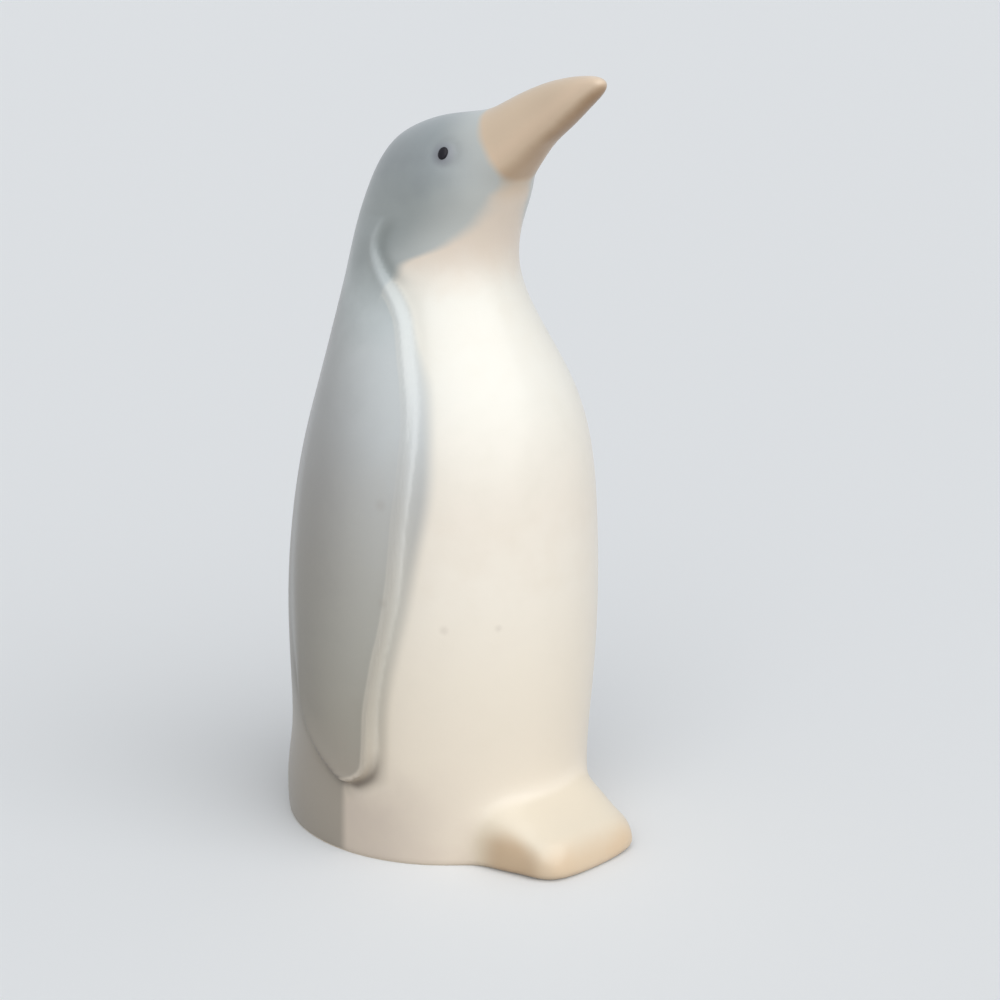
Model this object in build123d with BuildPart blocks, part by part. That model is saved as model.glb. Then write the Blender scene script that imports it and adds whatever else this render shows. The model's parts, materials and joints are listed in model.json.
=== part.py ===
"""A standing porcelain penguin with its head raised: hollow castings luted together under one glaze.

Millimetres, +Z up, the beak points to -Y and the bird's right side is at -X.
The origin lies on the ground, midway between the toes and the tail.
"""
from build123d import *
import os
from math import cos, radians, sin

# Body and head castings
throat_height = 118.0
crown_rise = 32.4
body_depth = 69.2
body_width = 63.6
neck_depth = 39.1
neck_width = 33.7
breast_lean = 3.9
head_lean = 5.5
wall = 3.4

# Underside
rim_height = 1.2
vent_diameter = 4.0

# Beak: its root's middle lies below the crown and behind the front of the neck
beak_length = 33.0
beak_depth = 15.8
beak_width = 17.8
beak_root_drop = 7.4
beak_root_inset = 2.55
beak_pitch = 27.0
beak_seam = 4.0

# Wings, from their tips to a point above the throat
wing_thickness = 1.8
wing_tip_height = 15.0
wing_top_rise = 13.0
wing_chord = 29.0
wing_back = 5.0

# Feet
toe_standout = 12.7
foot_width = 31.6
instep_height = 13.3
foot_squareness_share = 0.66

# Tail
tail_standout = 3.9
tail_width = 26.0
tail_depth = 22.0
tail_height = 27.0

# Eyes: their middles lie below the crown and ahead of the head's middle
eye_drop = 6.4
eye_ahead = 7.7
eye_diameter = 2.4
eye_sink = 0.8

# One overrun for every cut
overrun = 5.0

# Reach of the toes and the tail from the body's upright axis, and heights worked out from the castings
toe_reach = body_depth / 2 + toe_standout
tail_reach = body_depth / 2 + tail_standout
body_axis_y = (toe_reach - tail_reach) / 2
crown_height = throat_height + crown_rise
wing_length = throat_height + wing_top_rise - wing_tip_height

# Levels of the body casting: height, lean, depth and width from neck size (0) to body size (1), wing relief
body_shares = [
    (0.00, 0.03, 0.97, 1.00, 1.00),
    (0.07, -0.06, 0.975, 0.99, 1.00),
    (0.14, 0.14, 0.945, 0.95, 1.00),
    (0.25, 0.36, 0.965, 0.965, 1.00),
    (0.42, 0.51, 1.00, 1.00, 1.00),
    (0.59, 0.76, 0.92, 0.93, 1.00),
    (0.71, 0.98, 0.78, 0.80, 1.00),
    (0.82, 0.90, 0.535, 0.55, 1.00),
    (0.915, 0.34, 0.24, 0.235, 0.90),
    (1.00, 0.00, 0.00, 0.00, 0.70),
]

# Levels of the head casting: height over the throat, lean, depth and width against the neck, wing relief
head_shares = [
    (0.25, 0.19, 0.94, 0.93, 0.45),
    (0.46, 0.65, 0.93, 0.91, 0.25),
    (0.62, 0.99, 0.895, 0.87, 0.25),
    (0.74, 1.00, 0.79, 0.77, 0.25),
    (0.85, 0.94, 0.63, 0.61, 0.25),
    (0.93, 0.94, 0.45, 0.44, 0.25),
    (0.975, 1.04, 0.26, 0.255, 0.25),
    (0.997, 1.18, 0.09, 0.09, 0.25),
]

# Levels of the beak: distance along it, rise of the middle, depth and width
beak_shares = [
    (-0.18, 0.06, 1.02, 1.08),
    (0.00, 0.06, 1.00, 1.00),
    (0.18, 0.03, 0.91, 0.83),
    (0.39, 0.08, 0.75, 0.64),
    (0.61, 0.09, 0.62, 0.47),
    (0.82, 0.07, 0.415, 0.34),
    (0.955, 0.035, 0.225, 0.21),
    (1.00, 0.02, 0.09, 0.10),
]

# Wing edges from the tip to the shoulder: height along the wing, reach ahead of its middle line
wing_front_shares = [
    (0.00, 0.00),
    (0.025, 0.15),
    (0.06, 0.21),
    (0.12, 0.21),
    (0.235, 0.30),
    (0.36, 0.41),
    (0.47, 0.49),
    (0.60, 0.53),
    (0.70, 0.47),
    (0.79, 0.28),
    (0.85, 0.08),
    (0.90, -0.11),
    (0.95, -0.21),
    (1.00, -0.18),
]
wing_rear_shares = [
    (1.00, -0.18),
    (0.96, -0.31),
    (0.89, -0.44),
    (0.79, -0.52),
    (0.60, -0.51),
    (0.40, -0.49),
    (0.20, -0.51),
    (0.11, -0.50),
    (0.06, -0.33),
    (0.02, -0.13),
    (0.00, 0.00),
]

# Sections of the feet from inside the body to the toes: reach, width and height
foot_shares = [
    (0.42, 1.12, 1.30),
    (0.72, 1.00, 1.00),
    (0.85, 0.90, 0.735),
    (0.93, 0.83, 0.56),
    (0.975, 0.74, 0.385),
    (1.00, 0.62, 0.16),
]

# Levels of the tail: height, reach and width
tail_shares = [
    (0.00, 0.985, 0.80),
    (0.15, 1.00, 0.85),
    (0.40, 0.965, 1.00),
    (0.70, 0.91, 0.95),
    (1.00, 0.84, 0.70),
]


def casting_levels(growth=0):
    """Height, middle and half sizes of each level of the body and head, from the ground up."""
    for height, lean, depth, width, relief in body_shares:
        yield (
            throat_height * height,
            body_axis_y - breast_lean * lean,
            (neck_depth + (body_depth - neck_depth) * depth) / 2 + growth * relief,
            (neck_width + (body_width - neck_width) * width) / 2 + growth * relief,
        )
    for height, lean, depth, width, relief in head_shares:
        yield (
            throat_height + crown_rise * height,
            body_axis_y - head_lean * lean,
            neck_depth * depth / 2 + growth * relief,
            neck_width * width / 2 + growth * relief,
        )


def hollow_levels():
    """The levels inside: a wall's thickness in from the body, and the same form drawn in at the head."""
    depth_share = 1 - wall / (neck_depth / 2)
    width_share = 1 - wall / (neck_width / 2)
    rise_share = 1 - wall / crown_rise
    for z, y, depth, width in casting_levels():
        if z > throat_height:
            z = throat_height + (z - throat_height) * rise_share
            yield z, y, depth * depth_share, width * width_share
        else:
            yield z, y, depth - wall, width - wall


def loft_ovals(levels):
    """A solid through level ovals."""
    with BuildPart() as form:
        for height, middle, half_depth, half_width in levels:
            with BuildSketch(Plane(origin=(0, middle, height))):
                Ellipse(half_width, half_depth)
        loft()
    return form.part


figure = loft_ovals(casting_levels())
jacket = loft_ovals(casting_levels(wing_thickness))
hollow = loft_ovals(hollow_levels())
throat = Plane.XY.offset(throat_height)

# The beak's form starts inside the head, and its seam lies square across it just ahead of the chin
pitch = radians(beak_pitch)
beak_along = Vector(0, -cos(pitch), sin(pitch))
beak_across = Vector(0, sin(pitch), cos(pitch))
beak_root = Vector(0, body_axis_y - neck_depth / 2 + beak_root_inset, crown_height - beak_root_drop)
beak_face = Plane(origin=beak_root + beak_along * beak_seam, x_dir=(1, 0, 0), z_dir=beak_along)

with BuildPart() as beak_form:
    for along, rise, depth, width in beak_shares:
        middle = beak_root + beak_along * (beak_length * along) + beak_across * (beak_depth * rise)
        with BuildSketch(Plane(origin=middle, x_dir=(1, 0, 0), z_dir=beak_along)):
            Ellipse(beak_width * width / 2, beak_depth * depth / 2)
    loft()

with BuildPart() as skin:
    add(figure)
    add(beak_form.part)


def wing_points(shares):
    """Points of a wing edge as seen from the side."""
    middle = body_axis_y - wing_back
    return [(middle - wing_chord * reach, wing_tip_height + wing_length * rise) for rise, reach in shares]


# The right eye's bead, sunk in the skin where a line across the head leaves it
eye_line = Axis((0, body_axis_y - head_lean - eye_ahead, crown_height - eye_drop), (-1, 0, 0))
eye_point, eye_outward = min(skin.part.find_intersection_points(eye_line), key=lambda hit: hit[0].X)
right_bead = Pos(eye_point - eye_outward * eye_sink) * Sphere(eye_diameter / 2)
left_bead = mirror(right_bead, about=Plane.YZ)

# Castings
with BuildPart() as body_shell:
    add(figure)
    split(bisect_by=throat, keep=Keep.BOTTOM)
    add(hollow, mode=Mode.SUBTRACT)

with BuildPart() as head_shell:
    add(skin.part)
    split(bisect_by=throat, keep=Keep.TOP)
    split(bisect_by=beak_face, keep=Keep.BOTTOM)
    add(hollow, mode=Mode.SUBTRACT)
    add(right_bead, mode=Mode.SUBTRACT)
    add(left_bead, mode=Mode.SUBTRACT)

with BuildPart() as base_disc:
    with BuildSketch(Plane.XY.offset(rim_height)):
        Rectangle(body_width + overrun, 2 * body_depth)
    extrude(amount=wall)
    add(hollow, mode=Mode.INTERSECT)
    with Locations((0, body_axis_y, rim_height + wall)):
        Hole(vent_diameter / 2, depth=wall + overrun)

# Beak
with BuildPart() as beak:
    add(beak_form.part)
    split(bisect_by=beak_face, keep=Keep.TOP)

# Wings
with BuildPart() as right_wing:
    with BuildSketch(Plane.YZ):
        with BuildLine():
            Spline(wing_points(wing_front_shares))
            Spline(wing_points(wing_rear_shares))
        make_face()
    extrude(amount=-body_width)
    add(jacket, mode=Mode.INTERSECT)
    add(figure, mode=Mode.SUBTRACT)

with BuildPart() as left_wing:
    mirror(right_wing.part, about=Plane.YZ)

# Feet
with BuildPart() as feet:
    for reach, width, height in foot_shares:
        half_width = foot_width * width / 2
        top = instep_height * height
        shoulder = foot_squareness_share * half_width
        cheek = foot_squareness_share * top
        middle = (0, body_axis_y - toe_reach * reach, 0)
        with BuildSketch(Plane(origin=middle, x_dir=(1, 0, 0), z_dir=(0, -1, 0))):
            with BuildLine():
                Bezier((half_width, 0), (half_width, cheek), (shoulder, top), (0, top))
                Bezier((0, top), (-shoulder, top), (-half_width, cheek), (-half_width, 0))
                Line((-half_width, 0), (half_width, 0))
            make_face()
    loft()
    add(figure, mode=Mode.SUBTRACT)

# Tail
with BuildPart() as tail:
    for height, reach, width in tail_shares:
        middle = body_axis_y + tail_reach * reach - tail_depth / 2
        with BuildSketch(Plane(origin=(0, middle, tail_height * height))):
            Ellipse(tail_width * width / 2, tail_depth / 2)
    loft()
    add(figure, mode=Mode.SUBTRACT)

# Eyes
with BuildPart() as right_eye:
    add(right_bead)

with BuildPart() as left_eye:
    add(left_bead)

pieces = {
    "body_shell": body_shell,
    "head_shell": head_shell,
    "base_disc": base_disc,
    "beak": beak,
    "right_wing": right_wing,
    "left_wing": left_wing,
    "feet": feet,
    "tail": tail,
    "right_eye": right_eye,
    "left_eye": left_eye,
}
os.makedirs("parts", exist_ok=True)
for name, piece in pieces.items():
    piece.part.label = name
    export_step(piece.part, f"parts/{name}.step")
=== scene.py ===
"""The looks of the porcelain penguin: one smooth figure, parted along its castings' seams and airbrushed.

Metres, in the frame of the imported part: +Z up, the beak and toes to -Y, the bird's right side at -X.
The figure's form is a signed distance that Geometry Nodes works out in millimetres from the body's axis.
"""
import json
from math import cos, pi, radians, sin

import bpy
import numpy as np
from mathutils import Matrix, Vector


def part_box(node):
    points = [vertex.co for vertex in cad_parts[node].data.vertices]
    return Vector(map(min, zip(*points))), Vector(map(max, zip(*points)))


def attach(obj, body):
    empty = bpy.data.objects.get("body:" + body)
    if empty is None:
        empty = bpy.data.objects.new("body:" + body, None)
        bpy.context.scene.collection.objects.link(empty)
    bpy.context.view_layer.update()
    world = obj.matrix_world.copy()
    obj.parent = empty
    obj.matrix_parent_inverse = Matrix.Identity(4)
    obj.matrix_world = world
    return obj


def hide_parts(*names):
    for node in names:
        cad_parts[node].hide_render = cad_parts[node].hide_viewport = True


MM = 0.001

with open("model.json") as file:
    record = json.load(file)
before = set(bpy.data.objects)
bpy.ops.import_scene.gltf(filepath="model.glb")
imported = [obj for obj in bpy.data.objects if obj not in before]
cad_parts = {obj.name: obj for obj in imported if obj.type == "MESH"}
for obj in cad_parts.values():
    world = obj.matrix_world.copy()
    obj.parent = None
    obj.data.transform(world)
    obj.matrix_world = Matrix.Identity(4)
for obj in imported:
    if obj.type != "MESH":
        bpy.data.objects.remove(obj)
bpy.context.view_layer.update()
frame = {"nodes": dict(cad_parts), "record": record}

# The camera of the photograph
camera_place = Vector((-285.9, -293.5, 177.8)) * MM
camera_azimuth = radians(45.74)
camera_pitch = radians(14.72)
camera_lens = 72
sensor_width = 36
camera_range = 10 * MM, 100


def place_camera():
    """The camera stands where the photograph was taken, ahead of the bird and to its right."""
    data = bpy.data.cameras.new("camera")
    data.lens, data.sensor_width = camera_lens, sensor_width
    data.clip_start, data.clip_end = camera_range
    camera = bpy.data.objects.new("camera", data)
    camera.location = camera_place
    camera.rotation_euler = (pi / 2 - camera_pitch, 0, -camera_azimuth)
    bpy.context.scene.collection.objects.link(camera)
    bpy.context.scene.camera = camera


place_camera()

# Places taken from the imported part, in millimetres from the body's axis
axis_y = frame["record"]["mounts"][0]["pos_m"][1] / MM
throat_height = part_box("body_shell")[1].z / MM
toe_reach = axis_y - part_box("feet")[0].y / MM
tail_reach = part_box("tail")[1].y / MM - axis_y
tail_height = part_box("tail")[1].z / MM
wing_tip_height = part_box("right_wing")[0].z / MM
wing_top_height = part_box("right_wing")[1].z / MM

# Sizes of the castings, in millimetres
crown_rise = 32.4
body_depth, body_width = 69.2, 63.6
neck_depth, neck_width = 39.1, 33.7
breast_lean, head_lean = 3.9, 5.5
wall = 3.4
beak_length, beak_depth, beak_width = 33.0, 15.8, 17.8
beak_root = Vector((0, -17.0, 143.0))
beak_pitch = radians(27)
beak_seam = 4.0
beak_start = -8.0
beak_squareness = 2.5
wing_chord = 29.0
wing_back = 5.0
foot_width, instep_height = 31.6, 13.3
foot_start = 20.0
foot_squareness = 3.2
tail_width, tail_depth = 26.0, 22.0
eye_rim_radius, eye_hollow_radius = 1.9, 3.1

# Levels of the body casting: height, lean, depth and width from neck size (0) to body size (1)
body_shares = [
    (0.00, 0.03, 0.97, 1.00),
    (0.07, -0.06, 0.975, 0.99),
    (0.14, 0.14, 0.945, 0.95),
    (0.25, 0.36, 0.965, 0.965),
    (0.42, 0.51, 1.00, 1.00),
    (0.59, 0.76, 0.92, 0.93),
    (0.71, 0.98, 0.78, 0.80),
    (0.82, 0.90, 0.535, 0.55),
    (0.915, 0.34, 0.24, 0.235),
    (1.00, 0.00, 0.00, 0.00),
]

# Levels of the head casting: height over the throat, lean, depth and width against the neck
head_shares = [
    (0.25, 0.19, 0.94, 0.93),
    (0.46, 0.65, 0.93, 0.91),
    (0.62, 0.99, 0.895, 0.87),
    (0.74, 1.00, 0.79, 0.77),
    (0.85, 0.94, 0.63, 0.61),
    (0.93, 0.94, 0.45, 0.44),
    (0.975, 1.04, 0.26, 0.255),
    (0.997, 1.18, 0.09, 0.09),
]

# Levels of the beak: distance along it, rise of the middle, depth and width
beak_shares = [
    (-0.18, 0.06, 1.02, 1.08),
    (0.00, 0.06, 1.00, 1.00),
    (0.18, 0.03, 0.91, 0.83),
    (0.39, 0.08, 0.75, 0.64),
    (0.61, 0.09, 0.62, 0.47),
    (0.82, 0.07, 0.415, 0.34),
    (0.955, 0.035, 0.225, 0.21),
    (1.00, 0.02, 0.09, 0.10),
]

# Sections of the feet from inside the body to the toes: reach, width and height
foot_shares = [
    (0.42, 1.14, 1.30),
    (0.72, 1.06, 0.99),
    (0.86, 0.945, 0.74),
    (0.93, 0.885, 0.635),
    (0.97, 0.80, 0.55),
    (1.00, 0.66, 0.36),
]

# Levels of the tail: height, reach and width
tail_shares = [
    (0.00, 0.985, 0.80),
    (0.15, 1.00, 0.85),
    (0.40, 0.965, 1.00),
    (0.70, 0.91, 0.95),
    (1.00, 0.84, 0.70),
]

# Wing edges: height along the wing, reach ahead of its middle line
wing_front_shares = [
    (0.00, 0.00),
    (0.025, 0.15),
    (0.06, 0.215),
    (0.12, 0.235),
    (0.235, 0.312),
    (0.36, 0.42),
    (0.47, 0.452),
    (0.60, 0.468),
    (0.70, 0.402),
    (0.79, 0.235),
    (0.85, 0.10),
    (0.90, -0.08),
    (0.95, -0.185),
    (1.00, -0.10),
]
wing_rear_shares = [
    (0.00, 0.00),
    (0.02, -0.13),
    (0.06, -0.33),
    (0.11, -0.49),
    (0.20, -0.58),
    (0.40, -0.62),
    (0.60, -0.58),
    (0.79, -0.52),
    (0.89, -0.49),
    (0.96, -0.42),
    (1.00, -0.34),
]

# How much of its full relief the wing has by height along it
wing_relief_shares = [
    (0.00, 1.2),
    (0.08, 1.1),
    (0.20, 0.75),
    (0.60, 0.6),
    (0.80, 0.6),
    (0.90, 0.52),
    (0.96, 0.44),
    (1.00, 0),
]

# Finish of the form, in millimetres: the named inputs of its node tree
form_sizes = {
    "Wing relief": 1.9,
    "Wing edge inside": 0.5,
    "Wing edge outside": 1.0,
    "Wing bead": 0.35,
    "Wing groove": 0.5,
    "Wing rear groove": 0.5,
    "Wing rear softness": 3.5,
    "Foot fillet": 4.5,
    "Toe rounding": 1.8,
    "Tail fillet": 8.0,
    "Beak fillet": 7.5,
    "Eye rim": 0.22,
    "Eye hollow": 0.16,
    "Base rounding": 0.9,
}
undercut_share, toe_undercut_share = 0.4, 0.2
eye_rim_width, eye_hollow_width = 0.75, 0.8
end_softness = 6.0

# Across the wing's edges, in millimetres inside them: a swell's middle and width, or a slope's start and end
bead_swell, groove_swell, crease_swell = (0.5, 0.8), (-1.5, 1.6), (-1.1, 1.3)
crease_slope, rear_slope = (-2.0, 1.0), (-1.0, 1.4)
tip_rounding, tip_turn = 4.0, 4.5

# Heights over which the wing's rear edge leaves the tip, turns soft and loses its crease
parting_heights, parting_distance = (22, 44), 30
soft_heights, crease_heights = (20, 50), (26, 42)

# Where the ovals of each form begin and end along its line, and the width over which they are averaged
casting_span, casting_blur = (-6, 158), 2.0
foot_span, foot_blur = (18, 49), 0.6
tail_span, tail_blur = (-4, tail_height + 2), 1.0
beak_span, beak_blur = (beak_start, 35), 1.0
oval_steps, relief_steps = 161, 65

# How the skin is drawn from the form, in millimetres
voxel, margin = 0.85, 4.0
tap_step, drawing_rounds = 0.3, 3

# A relief over this belongs to the wing, feet or tail, and differences under a hair don't count
seat_relief, hair = 0.03, 1e-4

# Too small to be seen: they keep roots and divisions clear of zero
tiny_area, tiny_length = 0.01, 1e-12

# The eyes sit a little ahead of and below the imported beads
eye_centre = sum(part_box("right_eye"), Vector()) / 2 / MM + Vector((0, -0.8, -0.3))


class Wire:
    """An output socket: arithmetic with it adds Math nodes to its tree."""

    def __init__(self, sheet, socket):
        self.sheet, self.socket = sheet, socket

    def __getitem__(self, name):
        return Wire(self.sheet, self.socket.node.outputs[name])

    def math(self, operation, *others):
        return self.sheet.math(operation, self, *others)

    def __add__(self, other):
        return self.math("ADD", other)

    def __sub__(self, other):
        return self.math("SUBTRACT", other)

    def __rsub__(self, other):
        return self.sheet.math("SUBTRACT", other, self)

    def __mul__(self, other):
        return self.math("MULTIPLY", other)

    def __truediv__(self, other):
        return self.math("DIVIDE", other)

    def __rtruediv__(self, other):
        return self.sheet.math("DIVIDE", other, self)

    def __pow__(self, other):
        return self.math("POWER", other)

    def __neg__(self):
        return self.math("MULTIPLY", -1)

    def __abs__(self):
        return self.math("ABSOLUTE")

    __radd__ = __add__
    __rmul__ = __mul__

    def squared(self):
        return self.math("MULTIPLY", self)

    def bell(self, middle, width):
        """1 at the middle, falling away on both sides."""
        return (-((self - middle) / width).squared()).math("EXPONENT")

    def smooth_step(self, low, high):
        """0 below low, 1 above high, and a smooth rise between."""
        sockets = {"Value": self, "From Min": low, "From Max": high}
        return self.sheet.node("ShaderNodeMapRange", {"interpolation_type": "SMOOTHSTEP"}, sockets)


class Sheet:
    """A node tree being written."""

    def __init__(self, tree):
        self.tree = tree

    def node(self, kind, settings=None, sockets=None, out=0):
        """Adds a node with its settings, then the values or links of its sockets, and gives an output."""
        node = self.tree.nodes.new(kind)
        for name, value in (settings or {}).items():
            if name == "stops":
                self.set_stops(node.color_ramp, value)
            elif name == "points":
                self.set_points(node.mapping, value)
            else:
                setattr(node, name, value)
        for name, value in (sockets or {}).items():
            self.feed(node.inputs[name], value)
        return Wire(self, node.outputs[out]) if node.outputs else node

    def feed(self, socket, value):
        """Links a wire to a socket, or sets the socket's value."""
        if isinstance(value, Wire):
            self.tree.links.new(value.socket, socket)
        else:
            socket.default_value = value

    def set_stops(self, ramp, stops):
        """Colour stops of a ramp: place and colour."""
        while len(ramp.elements) < len(stops):
            ramp.elements.new(1)
        for element, (place, colour) in zip(ramp.elements, stops):
            element.position, element.color = place, colour

    def set_points(self, mapping, points):
        """Points of a curve, which may leave the square from 0 to 1."""
        mapping.use_clip = False
        curve = mapping.curves[0]
        while len(curve.points) < len(points):
            curve.points.new(1, 1)
        for point, place in zip(curve.points, points):
            point.location = place
        mapping.update()

    def math(self, operation, *values):
        return self.node("ShaderNodeMath", {"operation": operation}, dict(enumerate(values)))

    def vector(self, operation, *values, out=0):
        return self.node("ShaderNodeVectorMath", {"operation": operation}, dict(enumerate(values)), out)

    def scaled(self, vector, share):
        return self.node("ShaderNodeVectorMath", {"operation": "SCALE"}, {0: vector, "Scale": share})

    def curve(self, place, start, end, values):
        """A smooth curve through even values from start to end, level beyond them."""
        size = float(np.abs(values).max()) or 1.0
        points = list(zip(np.linspace(0, 1, len(values)), values / size))
        along = (place - start) / (end - start)
        return self.node("ShaderNodeFloatCurve", {"points": points}, {"Value": along}) * size


def spline(knots, values, places):
    """The natural cubic spline through the knots, straight beyond them."""
    knots, values = np.array(knots, float), np.array(values, float)
    gaps = np.diff(knots)
    slopes = np.diff(values) / gaps
    system = np.eye(len(knots))
    turns = np.zeros(len(knots))
    for i in range(1, len(knots) - 1):
        system[i, i - 1:i + 2] = gaps[i - 1], 2 * (gaps[i - 1] + gaps[i]), gaps[i]
        turns[i] = 6 * (slopes[i] - slopes[i - 1])
    bends = np.linalg.solve(system, turns)
    i = np.clip(np.searchsorted(knots, places) - 1, 0, len(knots) - 2)
    inside = np.clip(places, knots[0], knots[-1])
    ahead, behind, gap = inside - knots[i], knots[i + 1] - inside, gaps[i]
    line = values[i] * behind / gap + values[i + 1] * ahead / gap
    bow = (bends[i] * (behind**3 / gap - behind * gap) + bends[i + 1] * (ahead**3 / gap - ahead * gap)) / 6
    first_slope, last_slope = slopes[0] - gaps[0] * bends[1] / 6, slopes[-1] + gaps[-1] * bends[-2] / 6
    end_slope = np.where(places < knots[0], first_slope, last_slope)
    return line + bow + (places - inside) * end_slope


def blurred(values, step, width):
    """Even values averaged over a bell of that width, so that a rounded table gives a calm surface."""
    reach = int(3 * width / step)
    bell = np.exp(-0.5 * (np.arange(-reach, reach + 1) * step / width) ** 2)
    ahead = values[0] + np.arange(-reach, 0) * (values[1] - values[0])
    after = values[-1] + np.arange(1, reach + 1) * (values[-1] - values[-2])
    return np.convolve(np.concatenate([ahead, values, after]), bell / bell.sum(), "valid")


class Ovals:
    """Ovals along a line: their middles, squared half depths and ratios of depth to width."""

    def __init__(self, levels, span, blur):
        along, middle, half_depth, half_width = np.array(list(levels)).T
        self.span = span
        places = np.linspace(*span, oval_steps)
        step = places[1] - places[0]
        self.middle = blurred(spline(along, middle, places), step, blur)
        self.depth_squared = blurred(spline(along, half_depth**2, places), step, blur)
        self.ratio = blurred(spline(along, half_depth / half_width, places), step, blur)
        self.slope = np.gradient(self.depth_squared, step)

    def distance(self, sheet, across, rise, along, squareness=2):
        """Signed distance from the form.

        With it come the middle, squared half depth and ratio of the oval here, and the squared reach to here.
        """
        middle, depth_squared, ratio, slope = (
            sheet.curve(along, *self.span, values)
            for values in (self.middle, self.depth_squared, self.ratio, self.slope)
        )
        powers = (abs(across) * ratio) ** squareness + abs(rise - middle) ** squareness
        reach_squared = powers ** (2 / squareness)
        steepness = (reach_squared + slope.squared() / 4 + tiny_area) ** 0.5
        distance = (reach_squared - depth_squared) / (2 * steepness)
        return distance, middle, depth_squared, ratio, reach_squared


def casting_levels():
    """Height, middle, half depth and half width of each level of the body and head."""
    for height, lean, depth, width in body_shares:
        yield (
            throat_height * height,
            -breast_lean * lean,
            (neck_depth + (body_depth - neck_depth) * depth) / 2,
            (neck_width + (body_width - neck_width) * width) / 2,
        )
    for height, lean, depth, width in head_shares:
        yield (
            throat_height + crown_rise * height,
            -head_lean * lean,
            neck_depth * depth / 2,
            neck_width * width / 2,
        )


def beak_levels():
    """Place along the beak, rise of the middle, half depth and half width of each level."""
    for along, rise, depth, width in beak_shares:
        yield beak_length * along, beak_depth * rise, beak_depth * depth / 2, beak_width * width / 2


def foot_levels():
    """Reach, middle, height and half width of each section of the feet."""
    for reach, width, height in foot_shares:
        yield toe_reach * reach, 0, instep_height * height, foot_width * width / 2


def tail_levels():
    """Height, middle, half depth and half width of each level of the tail."""
    for height, reach, width in tail_shares:
        middle = tail_reach * reach - tail_depth / 2
        yield tail_height * height, middle, tail_depth / 2, tail_width * width / 2


def wing_edge(sheet, shares, z):
    """A wing edge as seen from the side: how far back it is at each height, and the cosine of its lean."""
    rise, reach = np.array(shares).T
    places = np.linspace(wing_tip_height, wing_top_height, oval_steps)
    heights = wing_tip_height + (wing_top_height - wing_tip_height) * rise
    back = spline(heights, -wing_back - wing_chord * reach, places)
    lean = 1 / np.sqrt(1 + np.gradient(back, places) ** 2)
    return tuple(sheet.curve(z, wing_tip_height, wing_top_height, values) for values in (back, lean))


def wing_inside(sheet, y, z):
    """How far a place lies inside the wing's front edge and tip, and inside its rear edge."""
    front, front_lean = wing_edge(sheet, wing_front_shares, z)
    rear, rear_lean = wing_edge(sheet, wing_rear_shares, z)
    inside_front = (y - front) * front_lean
    return inside_front.math("SMOOTH_MIN", z - wing_tip_height, tip_rounding), (rear - y) * rear_lean


def wing_relief(sheet, inside_front, inside_rear, z, sizes):
    """How far the wing stands out: a rounded bead with a groove along its front, and a crease at its rear."""
    parting = parting_distance * z.smooth_step(*parting_heights)
    edge = inside_front.math("SMOOTH_MIN", inside_rear + parting, tip_turn)
    shoulder = edge.smooth_step(-sizes["Wing edge outside"], sizes["Wing edge inside"])
    bead = sizes["Wing bead"] * edge.bell(*bead_swell)
    groove = sizes["Wing groove"] * edge.bell(*groove_swell)
    soft = sizes["Wing rear softness"] * z.smooth_step(*soft_heights)
    back = inside_rear.smooth_step(rear_slope[0] - soft, rear_slope[1] + soft)
    rise, share = np.array(wing_relief_shares).T
    shares = np.interp(np.linspace(0, 1, relief_steps), rise, share)
    height = sheet.curve(z, wing_tip_height, wing_top_height, shares).math("MAXIMUM", 0)
    crease = sizes["Wing rear groove"] * inside_rear.bell(*crease_swell)
    crease = crease * inside_front.smooth_step(*crease_slope) * (1 - z.smooth_step(*crease_heights))
    return (sizes["Wing relief"] * shoulder + bead - groove) * back * height - crease


form_outputs = ["Distance", "Wing", "Feet", "Tail"]
form_outputs += ["Middle", "Half depth", "Half width", "Wing edge", "Wing rear"]
size_inputs = [(name, "NodeSocketFloat", value) for name, value in form_sizes.items()]


def new_tree(name, inputs, outputs):
    """An empty tree with its named inputs and outputs: name, socket type and, for a size, its value."""
    tree = bpy.data.node_groups.new(name, "GeometryNodeTree")
    for socket_name, kind, value in inputs:
        socket = tree.interface.new_socket(socket_name, in_out="INPUT", socket_type=kind)
        if value is not None:
            socket.default_value = value
    for socket_name, kind in outputs:
        tree.interface.new_socket(socket_name, in_out="OUTPUT", socket_type=kind)
    return tree


def distance_from_eyes(x, y, z):
    """Distance from the nearer eye."""
    aside, ahead, above = abs(x) + eye_centre.x, y - (eye_centre.y - axis_y), z - eye_centre.z
    return (aside.squared() + ahead.squared() + above.squared()) ** 0.5


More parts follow.
